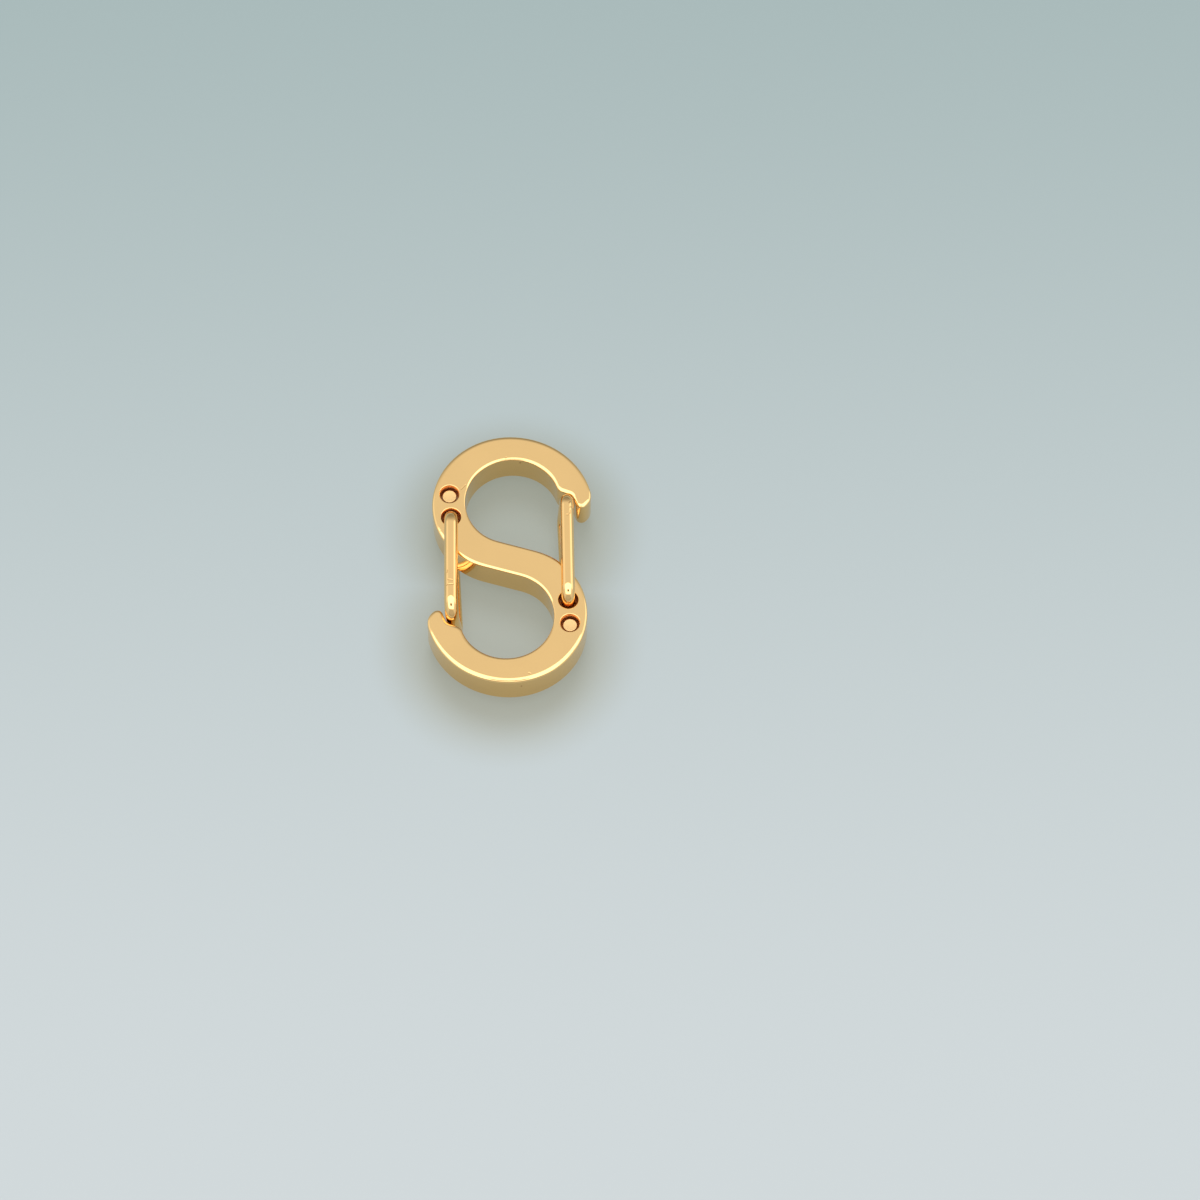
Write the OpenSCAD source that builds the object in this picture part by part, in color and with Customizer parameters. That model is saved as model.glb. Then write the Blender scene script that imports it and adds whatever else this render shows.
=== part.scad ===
// Double-ended S-hook clasp: a flat S-shaped frame with a bent wire gate across the mouth of each hook.
// X runs across the clasp, Y along it and Z up. The origin is under the middle of the S, on the surface that the
// clasp rests on. Half a turn about Z brings the frame onto itself and one gate to the place of the other.

/* [Frame] */
// Thickness of the frame
frame_t = 3; // [2.4:0.1:3.6]
// Diameter of the four holes that the gate pegs turn in
hole_d = 1.65; // [1.6:0.01:1.75]
// Bevel around each end of a hole
rim_bevel = 0.12; // [0.1:0.01:0.14]

/* [Gates] */
// Diameter of the gate wire
wire_d = 1.18; // [1.1:0.02:1.2]
// Radius of the centre line in each bend of the wire
bend_r = 1.1; // [1.05:0.01:1.15]
// Gap between a gate's leg and the face that it passes over
leg_gap = 0.09; // [0.08:0.01:0.2]
// How far a peg's end stays below the face of the frame
peg_recess = 0.6; // [0.4:0.1:0.9]
// How far the back leg of the upper gate lies inward of the front leg at the nose
upper_lean = 0.26; // [0:0.02:0.6]
// How far the back leg of the lower gate lies inward of the front leg at the nose
lower_lean = 0.42; // [0:0.02:0.6]

/* [Hidden] */
$fn = 96;

// Turns of the outline
LEFT = 1;
RIGHT = -1;
STRAIGHT = 0;

// Columns of the outline's rows
TURN = 0;
SIZE = 1;
TO = 2;

// Half of the frame's outline, walked with the metal on the left: from the outer side of the upper nose over the
// top of the upper hook, down the bar, round the inside of the lower hook and about its nose. The other half is
// the same, turned about the middle. Columns: turn, radius or length, direction at the end. The directions come
// from triangles with whole sides and the sizes are whole steps of 0.05, so each row ends exactly where the next
// one starts.
HALF = [
    [LEFT, 7.25, [-1, 0]],
    [LEFT, 6.75, [0, -1]],
    [LEFT, 6.75, [0.28, -0.96]],
    [LEFT, 6.1, [0.96, -0.28]],
    [STRAIGHT, 3.5, [0.96, -0.28]],
    [RIGHT, 3.9, [0.6, -0.8]],
    [RIGHT, 4.1, [0, -1]],
    [RIGHT, 4.1, [-1, 0]],
    [RIGHT, 4.1, [-0.6, 0.8]],
    [RIGHT, 3.95, [-0.352, 0.936]],
    [LEFT, 0.9, [-0.936, 0.352]],
    [STRAIGHT, 0.65, [-0.936, 0.352]],
    [RIGHT, 0.55, [-0.352, 0.936]],
    [STRAIGHT, 0.7, [-0.352, 0.936]],
    [LEFT, 0.5, [-1, 0]],
    [LEFT, 0.5, [-0.8, -0.6]],
    [LEFT, 1.35, [0, -1]],
    [LEFT, 2.25, [0.28, -0.96]]];
rows = len(HALF);
// Direction in which the walk starts
start_dir = [-0.28, 0.96];

// Middles of the upper gate's two pegs. The lower gate's are the same, turned about the middle.
near_peg = [5.1, -4.05];
far_peg = [5.25, -6.3];
// Where each gate's front leg meets its bend beside the nose, the lower one also before it is turned
upper_bend = [4.99, 5.4];
lower_bend = [5.05, 5.22];

// Heights of the frame's faces and of the two legs' centre lines
back_z = wire_d + leg_gap;
front_z = back_z + frame_t;
back_leg_z = wire_d / 2;
front_leg_z = front_z + leg_gap + wire_d / 2;

// A straight run of the wire is this much thinner all round than a bend, and seats this far inside it
run_step = 0.01;
run_seat = 0.1;
// How far a cut runs past the face that it leaves
cut = 1;

function left_of(d) = [-d[1], d[0]];
function centre(p, d, row) = p + row[TURN] * row[SIZE] * left_of(d);
function end_of(p, d, row) = row[TURN] == STRAIGHT
    ? p + row[SIZE] * d
    : centre(p, d, row) - row[TURN] * row[SIZE] * left_of(row[TO]);
// Where each row starts, with its direction there, and after them where the last row ends
function walk(p, d, i = 0) = i == rows
    ? [[p, d]]
    : concat([[p, d]], walk(end_of(p, d, HALF[i]), HALF[i][TO], i + 1));

walk_from_origin = walk([0, 0], start_dir);
half_way = walk_from_origin[rows][0] / 2;
stops = [for (s = walk_from_origin) [s[0] - half_way, s[1]]];

// The part of a row's circle that lies beyond the straight line between its ends
module bulge(i) {
    row = HALF[i];
    p = stops[i][0];
    q = stops[i + 1][0];
    out = -row[TURN] * left_of(q - p);
    intersection() {
        translate(centre(p, stops[i][1], row)) circle(row[SIZE]);
        polygon([p, q, q + out, p + out]);
    }
}

module bulges(turn) {
    for (i = [0:rows - 1], half = [0, 180])
        if (HALF[i][TURN] == turn) rotate(half) bulge(i);
}

module outline() {
    corners = [for (i = [0:rows - 1]) stops[i][0]];
    difference() {
        union() {
            polygon(concat(corners, [for (c = corners) -c]));
            bulges(LEFT);
        }
        bulges(RIGHT);
    }
}

// A hole through the frame, bevelled at both ends
module peg_hole(at) {
    hole_r = hole_d / 2;
    mouth_r = hole_r + 2 * rim_bevel;
    translate([at[0], at[1], back_z]) {
        translate([0, 0, -cut]) cylinder(h = frame_t + 2 * cut, r = hole_r);
        translate([0, 0, -rim_bevel]) cylinder(h = 2 * rim_bevel, r1 = mouth_r, r2 = hole_r);
        translate([0, 0, frame_t - rim_bevel]) cylinder(h = 2 * rim_bevel, r1 = hole_r, r2 = mouth_r);
    }
}

module frame() {
    color("#E8C185") difference() {
        translate([0, 0, back_z]) linear_extrude(frame_t) outline();
        for (turn = [0, 180]) rotate(turn) {
            peg_hole(near_peg);
            peg_hole(far_peg);
        }
    }
}

function unit(v) = v / norm(v);

// Puts a child that is drawn along X, with its own Z along n, at p with its X along a
module set_along(p, a, n) {
    b = cross(n, a);
    multmatrix([
        [a[0], b[0], n[0], p[0]],
        [a[1], b[1], n[1], p[1]],
        [a[2], b[2], n[2], p[2]],
        [0, 0, 0, 1]]) children();
}

// Round wire along the path's corners, each rounded to the radius r
module bent_wire(path, r) {
    last = len(path) - 1;
    function to_bend(i) = i == 0 || i == last
        ? 0
        : r * tan(acos(unit(path[i] - path[i - 1]) * unit(path[i + 1] - path[i])) / 2);
    for (i = [0:last - 1]) {
        run = path[i + 1] - path[i];
        u = unit(run);
        side = unit(cross(u, abs(u[2]) > 0.9 ? [1, 0, 0] : [0, 0, 1]));
        from = i == 0 ? 0 : to_bend(i) - run_seat;
        to = norm(run) - (i == last - 1 ? 0 : to_bend(i + 1) - run_seat);
        set_along(path[i] + u * from, side, u) cylinder(h = to - from, d = wire_d - 2 * run_step);
    }
    for (i = [1:last - 1]) {
        u = unit(path[i] - path[i - 1]);
        v = unit(path[i + 1] - path[i]);
        inward = unit(v - u * (u * v));
        set_along(path[i] - u * to_bend(i) + inward * r, -inward, cross(-inward, u))
            rotate_extrude(angle = acos(u * v)) translate([r, 0]) circle(d = wire_d);
    }
}

// A gate: a near peg, the front leg, the bend, the back leg and a far peg
module gate(bend, lean) {
    bent_wire([
        [near_peg[0], near_peg[1], back_z + peg_recess],
        [near_peg[0], near_peg[1], front_leg_z],
        [bend[0], bend[1], front_leg_z],
        [bend[0] - lean, bend[1], back_leg_z],
        [far_peg[0], far_peg[1], back_leg_z],
        [far_peg[0], far_peg[1], front_z - peg_recess]], bend_r);
}

module upper_gate() color("#DFB574") gate(upper_bend, upper_lean);

module lower_gate() color("#DFB574") rotate(180) gate(lower_bend, lower_lean);

frame();
upper_gate();
lower_gate();
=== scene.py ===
"""S-hook clasp in gold plate, with a wire gate across the mouth of each hook.

Laid out as an add-on and run as a script in Blender 4.5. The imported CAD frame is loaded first. The metal frame is
shaped from a copy of its node, each gate is swept along its own path, and the stage brings floor, light and camera.
"""

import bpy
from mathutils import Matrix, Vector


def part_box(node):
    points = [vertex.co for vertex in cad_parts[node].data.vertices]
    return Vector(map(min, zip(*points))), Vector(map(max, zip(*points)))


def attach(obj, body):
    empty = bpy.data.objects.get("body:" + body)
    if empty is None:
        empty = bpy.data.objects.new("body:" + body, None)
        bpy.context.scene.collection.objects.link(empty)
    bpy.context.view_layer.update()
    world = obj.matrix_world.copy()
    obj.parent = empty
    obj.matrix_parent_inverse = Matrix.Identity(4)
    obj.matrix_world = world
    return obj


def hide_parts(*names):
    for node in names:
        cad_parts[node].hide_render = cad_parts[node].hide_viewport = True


bl_info = {
    "name": "S-Hook Clasp",
    "version": (1, 0, 0),
    "blender": (4, 5, 0),
    "location": "View3D > Sidebar > S-Hook Clasp",
    "description": "Builds a gold-plated S-hook clasp with two wire gates, and the stage that it is shown on",
    "category": "Add Mesh",
}

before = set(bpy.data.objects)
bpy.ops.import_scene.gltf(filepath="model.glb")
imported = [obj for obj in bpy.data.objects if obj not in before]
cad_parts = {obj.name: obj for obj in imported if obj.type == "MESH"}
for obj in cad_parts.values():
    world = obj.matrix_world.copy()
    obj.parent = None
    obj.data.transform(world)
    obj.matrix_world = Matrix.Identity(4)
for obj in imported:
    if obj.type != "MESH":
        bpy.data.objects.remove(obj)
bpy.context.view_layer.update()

from math import acos, atan2, cos, degrees, pi, radians, sin, tan

import bpy
from bpy.props import FloatProperty, FloatVectorProperty, IntProperty, PointerProperty
from bpy.types import Operator, Panel, PropertyGroup
from mathutils import Matrix, Vector

MM = 0.001
# Points closer than this are one point
TOUCH = 0.001 * MM

# Heights of the metal frame's back and front faces, and of its middle
BACK_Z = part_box("frame")[0].z
FRONT_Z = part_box("frame")[1].z
MIDDLE_Z = (BACK_Z + FRONT_Z) / 2

# All places in these tables are in millimetres.
# Middles of the upper gate's peg holes, and the holes' radius. The lower gate's are the same, turned half round.
NEAR_HOLE = (5.1, -4.05)
FAR_HOLE = (5.25, -6.3)
HOLE_RADIUS = 0.825

# Each gate's path before the lower one is turned: the middles of its near peg and of its far peg's end, the corner of
# its front leg beside the nose, how far the back leg lies inward of it there, and the centre line radius of that bend
UPPER_PATH = ((5.1, -4.05), (5.255, -6.3), (4.93, 5.56), 0.26, 0.85)
LOWER_PATH = ((5.1, -4.05), (5.255, -6.3), (5.02, 5.57), 0.42, 1.45)

# How far above the frame's back face a near peg ends
NEAR_PEG_END = 0.6
# Sides of the round wire, and steps in each of its bends
WIRE_SIDES = 48
BEND_STEPS = 20
# Width of the rim round the dish in a cut end, and the dish's depth
DISH_RIM = 0.25
DISH_DEPTH = 0.008

# Middle of the upper hook's eye
EYE = (0.22, 5.6)
# Shares of the full rim width round the eyes, beside the noses and, of those, on the back of the frame
EYE_RIM = 0.6
NOSE_RIM = 0.86
BACK_RIM = 0.4

# Scratches and dents of wear on the front: x and y of the middle, angle from X in degrees, length and width
FRAME_MARKS = ((-4.04, 6.97, 48, 0.8, 0.13), (1.79, -11.2, -25, 0.3, 0.16), (-0.35, 9.9, 70, 0.2, 0.14))
WIRE_MARKS = ((5.2, 4.9, 65, 0.4, 0.2), (5.3, 4.45, 20, 0.3, 0.18), (5.25, 3.95, 80, 0.45, 0.18),
              (5.02, 3.6, 5, 0.25, 0.16), (-5.14, -3.2, 4, 0.8, 0.16), (-5.1, -2.75, -8, 0.6, 0.14),
              (-5.35, -1.9, 75, 0.4, 0.16))

# Middles of two round patches of painted shade, darker and yellower, on the floor round the clasp
PAINTED_SHADE_MIDDLES = ((0.2, 4.8), (-0.2, -6.4))

# The camera's angle above the floor, and the point in the plane of the front face that it looks at
CAMERA_ELEVATION = radians(62.5)
CAMERA_AIM = (7.838, -4.085)


# ---------------------------------------------------------------------------------------------------------------------
# Settings
# ---------------------------------------------------------------------------------------------------------------------

class ClaspFrameSettings(PropertyGroup):
    """Edges and finish of the S-shaped frame"""
    rim_width: FloatProperty(
        name="Rim Width", description="How far the rounding of the outer rims reaches in over the face",
        default=0.42 * MM, min=0.1 * MM, max=0.5 * MM, precision=5, subtype='DISTANCE', unit='LENGTH')
    rim_depth: FloatProperty(
        name="Rim Depth", description="How far the same rounding reaches down the wall",
        default=0.25 * MM, min=0.1 * MM, max=0.5 * MM, precision=5, subtype='DISTANCE', unit='LENGTH')
    mouth_radius: FloatProperty(
        name="Hole Mouth Radius", description="Radius of a peg hole's mouth in the face",
        default=0.89 * MM, min=0.84 * MM, max=0.94 * MM, precision=5, subtype='DISTANCE', unit='LENGTH')
    mouth_rounding: FloatProperty(
        name="Hole Mouth Rounding", description="Rounding of the edge of a peg hole's mouth",
        default=0.04 * MM, min=0.01 * MM, max=0.08 * MM, precision=5, subtype='DISTANCE', unit='LENGTH')
    rim_segments: IntProperty(
        name="Rim Segments", description="Facets across the rounding of a rim", default=10, min=2, max=24)
    colour: FloatVectorProperty(
        name="Plate Colour", description="Colour of the gold plate on the frame",
        default=(0.93, 0.62, 0.265), size=3, min=0.0, max=1.0, subtype='COLOR')
    roughness: FloatProperty(
        name="Roughness", description="Roughness of the polished faces", default=0.07, min=0.0, max=1.0,
        subtype='FACTOR')


class GateSettings(PropertyGroup):
    """Wire and finish of the two gates"""
    wire_diameter: FloatProperty(
        name="Wire Diameter", description="Diameter of the gates' round wire",
        default=1.18 * MM, min=1.0 * MM, max=1.2 * MM, precision=5, subtype='DISTANCE', unit='LENGTH')
    peg_bend: FloatProperty(
        name="Peg Bend", description="Centre line radius of the bend above the near peg",
        default=1.14 * MM, min=1.0 * MM, max=1.3 * MM, precision=5, subtype='DISTANCE', unit='LENGTH')
    back_bend: FloatProperty(
        name="Back Bend", description="Centre line radius of the bends of the back leg",
        default=0.9 * MM, min=0.8 * MM, max=1.2 * MM, precision=5, subtype='DISTANCE', unit='LENGTH')
    end_radius: FloatProperty(
        name="Peg End Radius", description="Rounding of the cut ends of the wire",
        default=0.03 * MM, min=0.02 * MM, max=0.3 * MM, precision=5, subtype='DISTANCE', unit='LENGTH')
    peg_depth: FloatProperty(
        name="Peg Depth", description="How far the end of a far peg stays below the face of the frame",
        default=0.44 * MM, min=0.3 * MM, max=1.0 * MM, precision=5, subtype='DISTANCE', unit='LENGTH')
    colour: FloatVectorProperty(
        name="Plate Colour", description="Colour of the gold plate on the wire",
        default=(0.94, 0.62, 0.26), size=3, min=0.0, max=1.0, subtype='COLOR')
    roughness: FloatProperty(
        name="Roughness", description="Roughness of the drawn wire", default=0.05, min=0.0, max=1.0, subtype='FACTOR')


class StageSettings(PropertyGroup):
    """Floor, light and camera"""
    # Painted light: the floor's colour is painted lighter in front and darker behind, standing in for how the light
    # falls
    floor_near_painted_light: FloatVectorProperty(
        name="Floor Near", description="Colour of the floor in front of the clasp",
        default=(0.616, 0.67, 0.683), size=3, min=0.0, max=1.0, subtype='COLOR')
    floor_far_painted_shade: FloatVectorProperty(
        name="Floor Far", description="Colour of the floor behind the clasp",
        default=(0.346, 0.445, 0.443), size=3, min=0.0, max=1.0, subtype='COLOR')
    # Painted light: the floor's own emission stands in for the light falling on it
    painted_floor_glow: FloatProperty(
        name="Lit From Below", description="Share of the floor's light that comes through the paper",
        default=0.75, min=0.0, max=1.0, subtype='FACTOR')
    light: FloatProperty(
        name="Light", description="Strength of the soft light all round", default=1.0, min=0.0, max=10.0)
    back_light: FloatProperty(
        name="Back Light", description="Strength of the light from above and behind, which shades the floor in front",
        default=3.6, min=0.0, max=20.0)
    camera_height: FloatProperty(
        name="Camera Elevation", description="Angle of the camera above the floor",
        default=CAMERA_ELEVATION, min=0.0, max=pi / 2, subtype='ANGLE', unit='ROTATION')
    camera_reach: FloatProperty(
        name="Camera Distance", description="Distance from the camera to the point that it looks at",
        default=777.6 * MM, min=0.1, max=5.0, precision=4, subtype='DISTANCE', unit='LENGTH')


# ---------------------------------------------------------------------------------------------------------------------
# Mesh work, as by hand
# ---------------------------------------------------------------------------------------------------------------------

def new_piece(name):
    """Names the object that a primitive has just added, puts its place in its mesh and opens it in edit mode."""
    obj = bpy.context.active_object
    obj.name = obj.data.name = name
    bpy.ops.object.transform_apply(location=True, rotation=True, scale=True)
    bpy.ops.object.mode_set(mode='EDIT')
    return obj


def pick_edges(obj, wanted):
    """Selects the edges whose two ends both pass a test, and nothing else. Leaves the piece in edit mode."""
    bpy.ops.mesh.select_all(action='DESELECT')
    bpy.ops.object.mode_set(mode='OBJECT')
    bpy.context.tool_settings.mesh_select_mode = (False, True, False)
    mesh = obj.data
    picked = 0
    for edge in mesh.edges:
        a, b = (mesh.vertices[v].co for v in edge.vertices)
        edge.select = wanted(a) and wanted(b)
        picked += edge.select
    bpy.ops.object.mode_set(mode='EDIT')
    bpy.ops.mesh.select_mode(type='EDGE')
    if not picked:
        raise RuntimeError(f"{obj.name}: no edge was found at the given place")


def pick_ring(obj, centre, along, radius):
    """Selects the ring of edges round the wire at one place."""
    pick_edges(obj, lambda v: abs((v - centre).dot(along)) < 0.004 * MM and (v - centre).length < 1.3 * radius)


def stretch_up(obj, factor):
    """Stretches the whole piece along Z about the middle of the metal frame. Leaves it in object mode."""
    bpy.ops.object.mode_set(mode='EDIT')
    bpy.ops.mesh.select_all(action='SELECT')
    bpy.ops.transform.resize(value=(1, 1, factor), center_override=(0, 0, MIDDLE_Z))
    bpy.ops.object.mode_set(mode='OBJECT')


def apply_modifier(obj, kind, **settings):
    """Adds a modifier with its settings and applies it."""
    modifier = obj.modifiers.new(kind.title(), kind)
    for name, value in settings.items():
        setattr(modifier, name, value)
    bpy.ops.object.modifier_apply(modifier=modifier.name)


def select_only(obj):
    """Makes one object the selected and active one."""
    bpy.ops.object.select_all(action='DESELECT')
    obj.select_set(True)
    bpy.context.view_layer.objects.active = obj


# ---------------------------------------------------------------------------------------------------------------------
# Shader work
# ---------------------------------------------------------------------------------------------------------------------

class Sock:
    """A node's output as a term of a Python sum: each operator adds the Math node of its name."""

    def __init__(self, tree, socket):
        self.tree = tree
        self.socket = socket

    def math(self, operation, *terms):
        return self.tree.node('ShaderNodeMath', {'operation': operation}, *terms)

    def __add__(self, other):
        return self.math('ADD', self, other)

    def __radd__(self, other):
        return self.math('ADD', other, self)

    def __sub__(self, other):
        return self.math('SUBTRACT', self, other)

    def __rsub__(self, other):
        return self.math('SUBTRACT', other, self)

    def __mul__(self, other):
        return self.math('MULTIPLY', self, other)

    def __rmul__(self, other):
        return self.math('MULTIPLY', other, self)

    def __truediv__(self, other):
        return self.math('DIVIDE', self, other)

    def __rtruediv__(self, other):
        return self.math('DIVIDE', other, self)


class NodeTree:
    """Nodes of one material or world."""

    def __init__(self, owner):
        owner.use_nodes = True
        self.tree = owner.node_tree
        self.tree.nodes.clear()

    def node(self, kind, settings=None, *terms, out=0, **sockets):
        """Adds a node of a type, makes its settings and feeds its sockets, by order or by name with _ for a space."""
        node = self.tree.nodes.new(kind)
        for name, value in (settings or {}).items():
            setattr(node, name, value)
        feeds = list(zip([s for s in node.inputs if s.enabled], terms))
        feeds += [(self.input_named(node, name), value) for name, value in sockets.items()]
        for socket, value in feeds:
            if isinstance(value, Sock):
                self.tree.links.new(value.socket, socket)
            elif value is not None:
                socket.default_value = value
        outputs = [s for s in node.outputs if s.enabled]
        return Sock(self, outputs[out]) if outputs else node

    @staticmethod
    def input_named(node, name):
        wanted = name.replace('_', ' ')
        return next(s for s in node.inputs if s.enabled and s.name == wanted)

    def step(self, value, start, end, low=0.0, high=1.0):
        """A smooth step from low to high as the value goes from start to end."""
        return self.node('ShaderNodeMapRange', {'interpolation_type': 'SMOOTHSTEP'}, value, start, end, low, high)

    def mix(self, factor, a, b):
        """Colour a where the factor is 0 and colour b where it is 1."""
        return self.node('ShaderNodeMix', {'data_type': 'RGBA'}, factor, a, b)

    def dot(self, a, b):
        """How far a place or direction reaches along another."""
        return self.node('ShaderNodeVectorMath', {'operation': 'DOT_PRODUCT'}, a, b, out=-1)

    def size(self, value):
        """The value without its sign."""
        return self.node('ShaderNodeMath', {'operation': 'ABSOLUTE'}, value)

    def nearest(self, place, points):
        """Distance from a place to the nearest of some points."""
        nearest = None
        for point in points:
            away = self.node('ShaderNodeVectorMath', {'operation': 'DISTANCE'}, place, point, out=-1)
            nearest = away if nearest is None else \
                self.node('ShaderNodeMath', {'operation': 'MINIMUM'}, nearest, away)
        return nearest


def rgba(colour, by=1.0):
    """A colour with its alpha, made brighter or darker by a factor."""
    return (*(min(1.0, c * by) for c in colour), 1.0)


def gold_plate(name, colour, roughness, grain, grain_turn, relief, marks, dull, dull_colour):
    """Polished gold plate: slight clouding, fine drawn lines along one way, shallow orange peel and a few pinholes. The
    grain is the lines' scale along each axis, relief the share of their height, and marks a table of scratches. The
    dull function gives the places that take the dull colour and a matt surface, 1 there and 0 elsewhere."""
    material = bpy.data.materials.new(name)
    t = NodeTree(material)
    place = t.node('ShaderNodeTexCoord', out=3)
    # Fine lines that polishing or drawing leaves, long one way and narrow the other
    along = t.node('ShaderNodeMapping', None, place, None, (0, 0, grain_turn), grain)
    lines = t.node('ShaderNodeTexNoise', None, along, Scale=1.0, Detail=3.0, Roughness=0.6)
    # Slow clouding of the plate, a few millimetres across
    cloud = t.node('ShaderNodeTexNoise', None, place, Scale=210.0, Detail=2.0, Roughness=0.5)
    peel = t.node('ShaderNodeTexNoise', None, place, Scale=1500.0, Detail=2.0, Roughness=0.5)
    # Pinholes and dust in the plate, far apart
    cells = t.node('ShaderNodeTexVoronoi', {'feature': 'F1'}, place, Scale=620.0)
    chance = t.node('ShaderNodeTexNoise', None, place, Scale=330.0, Detail=0.0)
    pits = t.step(cells, 0.035, 0.075, 1.0, 0.0) * t.step(chance, 0.6, 0.64)
    matt = dull(t, place)
    worn = worn_marks(t, place, marks)

    tone = t.mix(t.step(cloud, 0.3, 0.7), rgba(colour, 0.985), rgba(colour, 1.012))
    tone = t.mix(pits, tone, rgba((0.42, 0.2, 0.07)))
    tone = t.mix(0.6 * worn, tone, rgba((0.5, 0.26, 0.09)))
    tone = t.mix(matt, tone, rgba(dull_colour))
    rough = roughness + 0.035 * (lines - 0.5) + 0.03 * (cloud - 0.5) + 0.3 * pits + 0.3 * matt
    height = relief * (0.35 * peel + 0.4 * lines) - 2.5 * pits - 12.0 * worn + 6.0 * matt * peel
    bump = t.node('ShaderNodeBump', None, Strength=0.12, Distance=0.000012, Height=height)
    surface = t.node('ShaderNodeBsdfPrincipled', None, Base_Color=tone, Metallic=1.0, Roughness=rough, Normal=bump)
    t.node('ShaderNodeOutputMaterial', None, surface)
    return material


def worn_marks(t, place, marks):
    """1 in each of the marks on the front and 0 elsewhere."""
    total = None
    for x, y, angle, length, width in marks:
        a = radians(angle)
        along = t.dot(place, (cos(a), sin(a), 0)) - (x * cos(a) + y * sin(a)) * MM
        across = t.dot(place, (-sin(a), cos(a), 0)) - (y * cos(a) - x * sin(a)) * MM
        mark = t.step(t.size(along), 0.3 * length * MM, 0.5 * length * MM, 1.0, 0.0) \
            * t.step(t.size(across), 0.1 * width * MM, 0.5 * width * MM, 1.0, 0.0)
        total = mark if total is None else total + mark
    return total * t.step(t.dot(place, (0, 0, 1)), FRONT_Z - 0.1 * MM, FRONT_Z - 0.05 * MM)


def peg_hole_walls(t, place):
    """The walls of the four peg holes, 1 there and 0 elsewhere, which take the frame's dull colour and a matt surface.
    """
    flat = t.node('ShaderNodeVectorMath', {'operation': 'MULTIPLY'}, place, (1, 1, 0))
    holes = [(turn * x * MM, turn * y * MM, 0) for turn in (1, -1) for x, y in (NEAR_HOLE, FAR_HOLE)]
    wall = HOLE_RADIUS * MM
    return t.step(t.nearest(flat, holes), wall + 0.007 * MM, wall + 0.025 * MM, 1.0, 0.0)


def peg_ends(t, place):
    """The cut ends of the far pegs, at one height below the frame's face."""
    height = t.dot(place, (0, 0, 1))
    end = FRONT_Z - bpy.context.scene.clasp_gates.peg_depth
    return t.step(height, end - 0.03 * MM, end - 0.015 * MM) \
        * t.step(height, end + 0.01 * MM, end + 0.02 * MM, 1.0, 0.0)


def dress(obj, material):
    """Gives a piece its one material."""
    obj.data.materials.clear()
    obj.data.materials.append(material)


# ---------------------------------------------------------------------------------------------------------------------
# Pieces
# ---------------------------------------------------------------------------------------------------------------------

def blend(value, start, end, low, high):
    """A straight step from low to high as the value goes from start to end."""
    share = min(1.0, max(0.0, (value - start) / (end - start)))
    return low + share * (high - low)


def rim_share(at):
    """Share of the rim's full width that its rounding takes at a place: least round the eyes, most on the outside. It
    changes slowly, along the long curves only, because the edges beside a straight run need the same width."""
    turn = 1 if at.y > 0 else -1
    here = Vector((turn * at.x, turn * at.y)) / MM
    round_middle = degrees(atan2(here.y, here.x))
    if round_middle > 90:
        round_middle -= 180
    from_eye = here - Vector(EYE)
    round_eye = degrees(atan2(from_eye.y, from_eye.x))
    if here.length < 2.5 or from_eye.length < 4.35:
        share = blend(round_eye, 36, 95, NOSE_RIM, EYE_RIM) if 0 < round_eye < 95 else EYE_RIM
    elif -28 < round_middle < 17.6:
        share = blend(round_middle, -27.7, 17.6, 1.0, EYE_RIM)
    elif from_eye.length < 6.3:
        share = NOSE_RIM
    else:
        share = blend(round_eye, 11, 70, NOSE_RIM, 1.0) if round_eye > -10 else 1.0
    return share if at.z > MIDDLE_Z else BACK_RIM * share


def mouth_of(obj, middle, z):
    """Radius of the selected ring round a peg hole."""
    bpy.ops.object.mode_set(mode='OBJECT')
    reach = max((v.co.xy - middle.xy).length for v in obj.data.vertices if v.select and abs(v.co.z - z) < TOUCH)
    bpy.ops.object.mode_set(mode='EDIT')
    return reach


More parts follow.
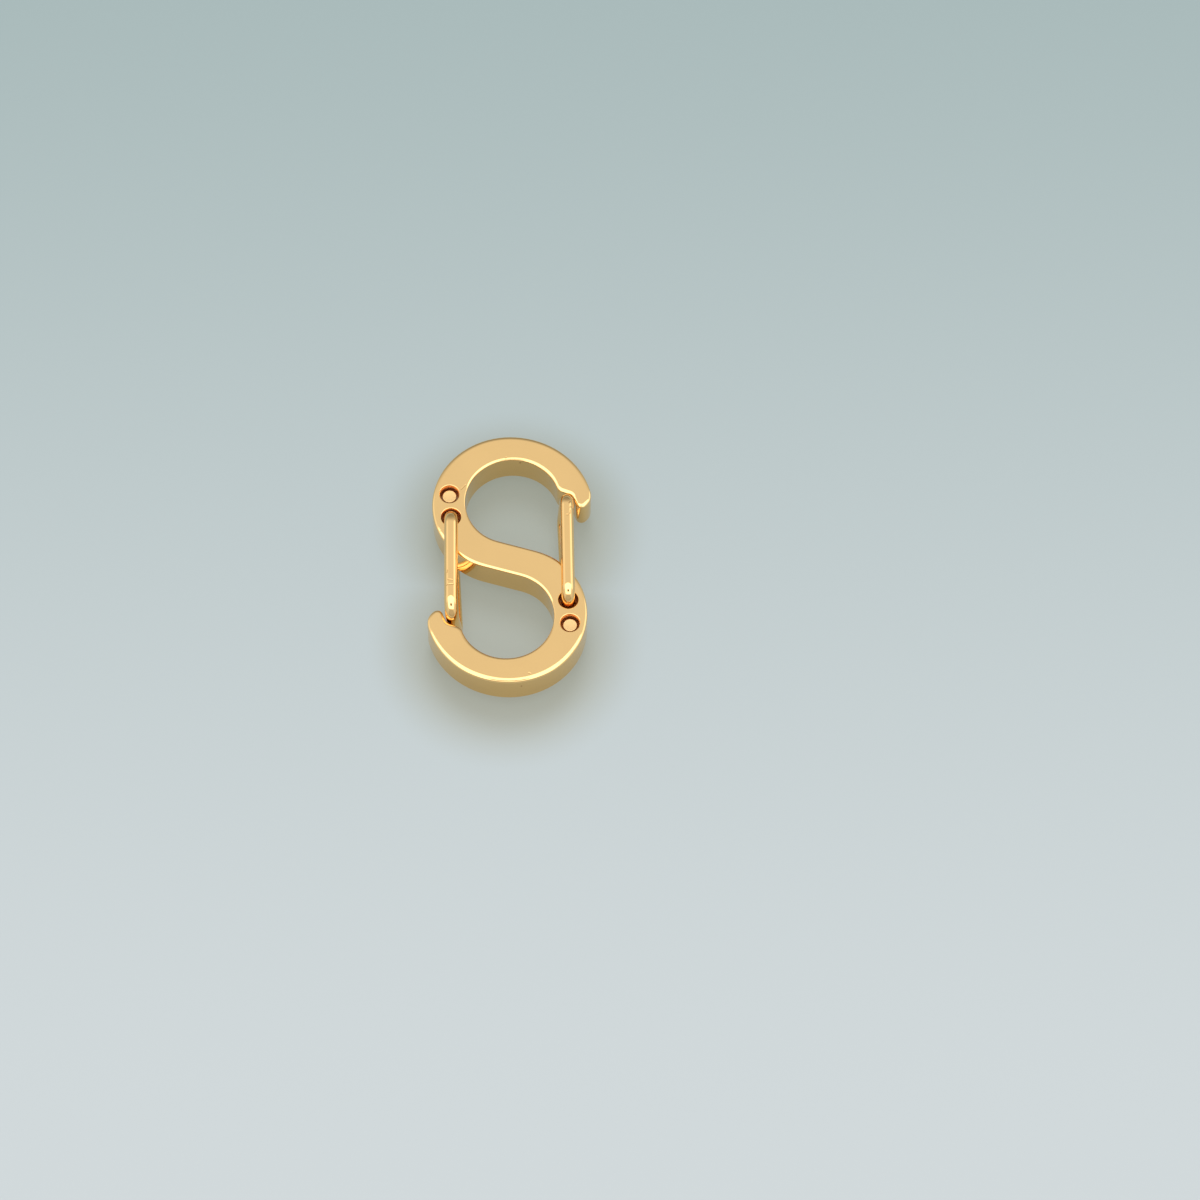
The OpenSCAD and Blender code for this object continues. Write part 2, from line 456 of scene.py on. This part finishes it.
class CLASP_OT_add_frame(Operator):
    """Shape the S-shaped metal frame, with rounded rims and bevelled peg holes"""
    bl_idname = "clasp.add_frame"
    bl_label = "Add Clasp Frame"

    def execute(self, context):
        look = context.scene.clasp_frame
        bpy.ops.object.select_all(action='DESELECT')
        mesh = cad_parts["frame"].data.copy()
        obj = bpy.data.objects.new("clasp_frame", mesh)
        mesh.name = obj.name
        context.scene.collection.objects.link(obj)
        select_only(obj)

        # Triangles of the copy become whole faces again
        bpy.ops.object.mode_set(mode='EDIT')
        bpy.ops.mesh.select_mode(type='VERT')
        bpy.ops.mesh.select_all(action='SELECT')
        bpy.ops.mesh.remove_doubles(threshold=TOUCH)
        bpy.ops.mesh.dissolve_limited(angle_limit=radians(0.5))
        bpy.ops.mesh.customdata_custom_splitnormals_clear()
        bpy.ops.object.mode_set(mode='OBJECT')

        # Rims are rounded most on the outside and least round the eyes, and the front ones more than the back ones
        level = [abs(p.normal.z) for p in mesh.polygons]
        beside = {}
        for polygon in mesh.polygons:
            for key in polygon.edge_keys:
                beside.setdefault(key, []).append(level[polygon.index])
        weight = mesh.attributes.new("bevel_weight_edge", 'FLOAT', 'EDGE')
        rims = 0
        for edge in mesh.edges:
            low, high = sorted(beside[edge.key])
            middle = (mesh.vertices[edge.vertices[0]].co + mesh.vertices[edge.vertices[1]].co) / 2
            if high > 0.99 and low < 0.1:
                weight.data[edge.index].value = rim_share(middle)
                rims += 1
            elif high > 0.99 and low < 0.9:
                weight.data[edge.index].value = look.mouth_rounding / look.rim_width
        if not rims:
            raise RuntimeError("the frame has no rim to round")

        # The ring of each peg hole's mouth is drawn in to the radius that its rounding starts from
        bpy.ops.object.mode_set(mode='EDIT')
        for turn in (1, -1):
            for hole in (NEAR_HOLE, FAR_HOLE):
                middle = Vector((turn * hole[0] * MM, turn * hole[1] * MM, 0))
                for z in (BACK_Z, FRONT_Z):
                    pick_edges(obj, lambda v: abs(v.z - z) < TOUCH and (v.xy - middle.xy).length < 1.0 * MM)
                    factor = look.mouth_radius / mouth_of(obj, middle, z)
                    bpy.ops.transform.resize(value=(factor, factor, 1), center_override=(middle.x, middle.y, z))
        bpy.ops.object.mode_set(mode='OBJECT')

        # A rim reaches further over the face than down the wall, so it is cut while the plate is stretched upwards
        stretch = look.rim_width / look.rim_depth
        stretch_up(obj, stretch)
        bpy.ops.object.shade_smooth_by_angle(angle=radians(50))
        apply_modifier(obj, 'BEVEL', limit_method='WEIGHT', width=look.rim_width, segments=look.rim_segments,
                       profile=0.5, use_clamp_overlap=False, loop_slide=False)
        stretch_up(obj, 1 / stretch)
        bpy.ops.object.shade_smooth_by_angle(angle=radians(50))
        apply_modifier(obj, 'WEIGHTED_NORMAL', mode='FACE_AREA', keep_sharp=False, weight=50)

        dress(obj, gold_plate(
            "Polished gold plate", look.colour, look.roughness, grain=(900, 9000, 900), grain_turn=radians(12),
            relief=1.0, marks=FRAME_MARKS, dull=peg_hole_walls, dull_colour=(0.85, 0.42, 0.2)))
        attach(obj, "frame")
        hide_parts("frame")
        return {'FINISHED'}


def sweep_gate(name, look, path, half_turn):
    """One gate's wire, from the end of its near peg over the front leg and round to the end of its far peg."""
    r = look.wire_diameter / 2
    node_low, node_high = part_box(name)
    front = node_high.z - r
    back = node_low.z + r
    turn = -1 if half_turn else 1
    near_peg, far_peg, bend, lean, nose_bend = path

    def at(x, y, z):
        return Vector((turn * x * MM, turn * y * MM, z))

    corners = [
        at(*near_peg, BACK_Z + NEAR_PEG_END * MM), at(*near_peg, front), at(*bend, front),
        at(bend[0] - lean, bend[1], back), at(*FAR_HOLE, back), at(*far_peg, FRONT_Z - look.peg_depth)]
    radii = [0, look.peg_bend, nose_bend * MM, look.back_bend, look.back_bend, 0]
    ways = [(b - a).normalized() for a, b in zip(corners, corners[1:])]

    bpy.ops.object.select_all(action='DESELECT')
    bpy.ops.mesh.primitive_circle_add(vertices=WIRE_SIDES, radius=r, fill_type='NOTHING', location=corners[0])
    obj = new_piece(name + "_wire")
    bpy.ops.mesh.select_all(action='SELECT')
    here = corners[0]
    for i, way in enumerate(ways):
        last = i == len(ways) - 1
        if last:
            run_end = corners[-1]
        else:
            angle = acos(max(-1.0, min(1.0, way.dot(ways[i + 1]))))
            run_end = corners[i + 1] - way * radii[i + 1] * tan(angle / 2)
        bpy.ops.mesh.extrude_region_move(TRANSFORM_OT_translate={"value": run_end - here})
        here = run_end
        if not last:
            axis = way.cross(ways[i + 1]).normalized()
            centre = run_end + axis.cross(way) * radii[i + 1]
            bpy.ops.mesh.spin(steps=BEND_STEPS, angle=-angle, center=centre, axis=axis)
            here = centre + Matrix.Rotation(angle, 3, axis) @ (run_end - centre)
            pick_ring(obj, here, ways[i + 1], r)

    # Each cut end gets a face with a rounded rim and a shallow dish
    for end, out in ((corners[0], -ways[0]), (corners[-1], ways[-1])):
        pick_ring(obj, end, out, r)
        bpy.ops.mesh.edge_face_add()
        pick_ring(obj, end, out, r)
        bpy.ops.mesh.bevel(offset=look.end_radius, segments=3, affect='EDGES')
        pick_edges(obj, lambda v: abs((v - end).dot(out)) < 0.002 * MM and (v - end).length < r)
        bpy.ops.mesh.select_mode(type='FACE')
        bpy.ops.mesh.inset(thickness=DISH_RIM * MM)
        bpy.ops.transform.translate(value=out * -DISH_DEPTH * MM)
    bpy.ops.mesh.select_mode(type='VERT')
    bpy.ops.mesh.select_all(action='SELECT')
    bpy.ops.mesh.remove_doubles(threshold=TOUCH)
    bpy.ops.mesh.normals_make_consistent(inside=False)
    bpy.ops.object.mode_set(mode='OBJECT')
    bpy.ops.object.shade_smooth_by_angle(angle=radians(12))

    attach(obj, name)
    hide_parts(name)
    return obj


class CLASP_OT_add_gates(Operator):
    """Sweep the two wire gates, one across the mouth of each hook"""
    bl_idname = "clasp.add_gates"
    bl_label = "Add Wire Gates"

    def execute(self, context):
        look = context.scene.clasp_gates
        wire = gold_plate(
            "Drawn gold wire", look.colour, look.roughness, grain=(6000, 500, 6000), grain_turn=0.0,
            relief=0.3, marks=WIRE_MARKS, dull=peg_ends, dull_colour=(0.9, 0.6, 0.27))
        dress(sweep_gate("upper_gate", look, UPPER_PATH, False), wire)
        dress(sweep_gate("lower_gate", look, LOWER_PATH, True), wire)
        return {'FINISHED'}


# ---------------------------------------------------------------------------------------------------------------------
# Stage
# ---------------------------------------------------------------------------------------------------------------------

def add_floor(stage):
    """Pale paper under the clasp and far round it, which glows: painted light that stands in for the light falling on
    it.
    """
    bpy.ops.object.select_all(action='DESELECT')
    bpy.ops.mesh.primitive_circle_add(vertices=64, radius=4.0, fill_type='NGON', location=(0, 0, -0.01 * MM))
    floor = new_piece("floor")
    bpy.ops.object.mode_set(mode='OBJECT')
    material = bpy.data.materials.new("Paper with painted light")
    t = NodeTree(material)
    place = t.node('ShaderNodeTexCoord', out=3)
    depth = t.dot(place, (0, 1, 0))
    fibre = t.node('ShaderNodeTexNoise', None, place, Scale=1400.0, Detail=3.0)
    # Painted light and shade: lighter in front of the clasp, darker behind it
    tone = t.mix(t.step(depth, -0.06, 0.09), rgba(stage.floor_near_painted_light), rgba(stage.floor_far_painted_shade))
    bump = t.node('ShaderNodeBump', None, Strength=0.1, Distance=0.00001, Height=fibre)
    # Painted light: most of the floor's light is its own emission, which stands in for the light falling on it, so the
    # shadows on it stay pale. Round the clasp the emission is painted darker and yellower, as a painted shade.
    near = t.nearest(place, [(x * MM, y * MM, 0) for x, y in PAINTED_SHADE_MIDDLES])
    # Painted shade round the clasp: the emission is darker and yellower there
    painted_shade = t.node('ShaderNodeMix', {'data_type': 'RGBA', 'blend_type': 'MULTIPLY'}, 1.0, tone, (0.75, 0.69, 0.56, 1))
    painted_glow = t.mix(t.step(near, 6.2 * MM, 12.5 * MM), painted_shade, tone)
    paint = t.mix(0.106, (0, 0, 0, 1), tone)
    surface = t.node('ShaderNodeBsdfPrincipled', None, Base_Color=paint, Roughness=0.85, Emission_Color=painted_glow,
                     Emission_Strength=stage.painted_floor_glow, Normal=bump)
    t.node('ShaderNodeOutputMaterial', None, surface)
    dress(floor, material)


def toward(azimuth, elevation):
    """Direction at an angle round from +Y towards +X and an angle above the floor, in degrees."""
    a, e = radians(azimuth), radians(elevation)
    return (sin(a) * cos(e), cos(a) * cos(e), sin(e))


def light_room(stage):
    """A pale room, lit from above and in front, dimmer behind and low in front."""
    world = bpy.data.worlds.new("Studio")
    bpy.context.scene.world = world
    t = NodeTree(world)
    look = t.node('ShaderNodeTexCoord')
    up = t.dot(look, (0, 0, 1))
    away = t.dot(look, (0, 1, 0))
    sky = t.step(up, 0.0, 0.35, 0.7, 0.87) * t.step(away, 0.5, 0.98, 1.0, 0.4) * t.step(away, -0.62, -0.8, 1.0, 0.66)
    # The broad flat light overhead, as the place where a direction meets its plane
    height = t.node('ShaderNodeMath', {'operation': 'MAXIMUM'}, up, 0.03)
    ahead = away / height
    across = t.dot(look, (1, 0, 0))
    aside = t.size(across / height)
    panel = t.step(ahead, -1.27, -1.15) * t.step(ahead, 0.29, 0.37, 1.0, 0.0) * t.step(aside, 1.2, 1.5, 1.0, 0.0)
    right = t.step(t.dot(look, toward(72, 22)), 0.91, 0.96)
    left = t.step(t.dot(look, toward(-72, 22)), 0.91, 0.96)
    # The camera's dark lens, which the bends mirror as a dot
    lens_up = t.dot(look, (0, sin(CAMERA_ELEVATION), cos(CAMERA_ELEVATION)))
    lens = t.step(t.size(lens_up), 0.1, 0.125, 1.0, 0.0) * t.step(t.size(across), 0.2, 0.26, 1.0, 0.0) \
        * t.step(away, -0.2, -0.3)
    power = (sky + 1.35 * panel + 0.6 * right + 0.2 * left) * (1 - 0.96 * lens)
    light = t.node('ShaderNodeBackground', None, (1.0, 1.0, 1.0, 1), power * stage.light)
    t.node('ShaderNodeOutputWorld', None, light)


def add_back_light(stage):
    """A soft light from above and behind. It only shades the floor, and the metal doesn't mirror it."""
    bpy.ops.object.select_all(action='DESELECT')
    bpy.ops.object.light_add(type='SUN', rotation=(radians(58 - 90), 0, 0))
    lamp = bpy.context.active_object
    lamp.name = lamp.data.name = "back_light"
    lamp.data.energy = stage.back_light
    lamp.data.angle = radians(30)
    lamp.data.color = (0.96, 0.97, 1.0)
    lamp.visible_glossy = False


def set_camera(stage):
    """A long lens in front of the clasp, which lies left of the middle of the picture."""
    bpy.ops.object.select_all(action='DESELECT')
    aim = Vector((CAMERA_AIM[0] * MM, CAMERA_AIM[1] * MM, FRONT_Z))
    back = Vector((0, -cos(stage.camera_height), sin(stage.camera_height)))
    bpy.ops.object.camera_add(location=aim + back * stage.camera_reach,
                              rotation=(pi / 2 - stage.camera_height, 0, 0))
    camera = bpy.context.active_object
    camera.name = camera.data.name = "product_camera"
    camera.data.lens = 270.0
    camera.data.sensor_width = 36.0
    camera.data.clip_start = 0.01
    bpy.context.scene.camera = camera


class CLASP_OT_add_stage(Operator):
    """Lay the pale floor, light the room and set the camera"""
    bl_idname = "clasp.add_stage"
    bl_label = "Add Stage"

    def execute(self, context):
        stage = context.scene.clasp_stage
        add_floor(stage)
        light_room(stage)
        add_back_light(stage)
        set_camera(stage)
        context.scene.view_settings.view_transform = 'Standard'
        return {'FINISHED'}


class CLASP_PT_sidebar(Panel):
    """Builds the clasp piece by piece"""
    bl_label = "S-Hook Clasp"
    bl_space_type = 'VIEW_3D'
    bl_region_type = 'UI'
    bl_category = "S-Hook Clasp"

    def draw(self, context):
        for settings, operator in (
                (context.scene.clasp_frame, CLASP_OT_add_frame),
                (context.scene.clasp_gates, CLASP_OT_add_gates),
                (context.scene.clasp_stage, CLASP_OT_add_stage)):
            box = self.layout.box()
            for name in settings.__annotations__:
                box.prop(settings, name)
            box.operator(operator.bl_idname)


CLASSES = (ClaspFrameSettings, GateSettings, StageSettings,
           CLASP_OT_add_frame, CLASP_OT_add_gates, CLASP_OT_add_stage, CLASP_PT_sidebar)


def register():
    for cls in CLASSES:
        bpy.utils.register_class(cls)
    bpy.types.Scene.clasp_frame = PointerProperty(type=ClaspFrameSettings)
    bpy.types.Scene.clasp_gates = PointerProperty(type=GateSettings)
    bpy.types.Scene.clasp_stage = PointerProperty(type=StageSettings)


def unregister():
    del bpy.types.Scene.clasp_stage
    del bpy.types.Scene.clasp_gates
    del bpy.types.Scene.clasp_frame
    for cls in reversed(CLASSES):
        bpy.utils.unregister_class(cls)


def main():
    """Builds everything in order."""
    register()
    bpy.ops.clasp.add_frame()
    bpy.ops.clasp.add_gates()
    bpy.ops.clasp.add_stage()


if __name__ == "__main__":
    main()
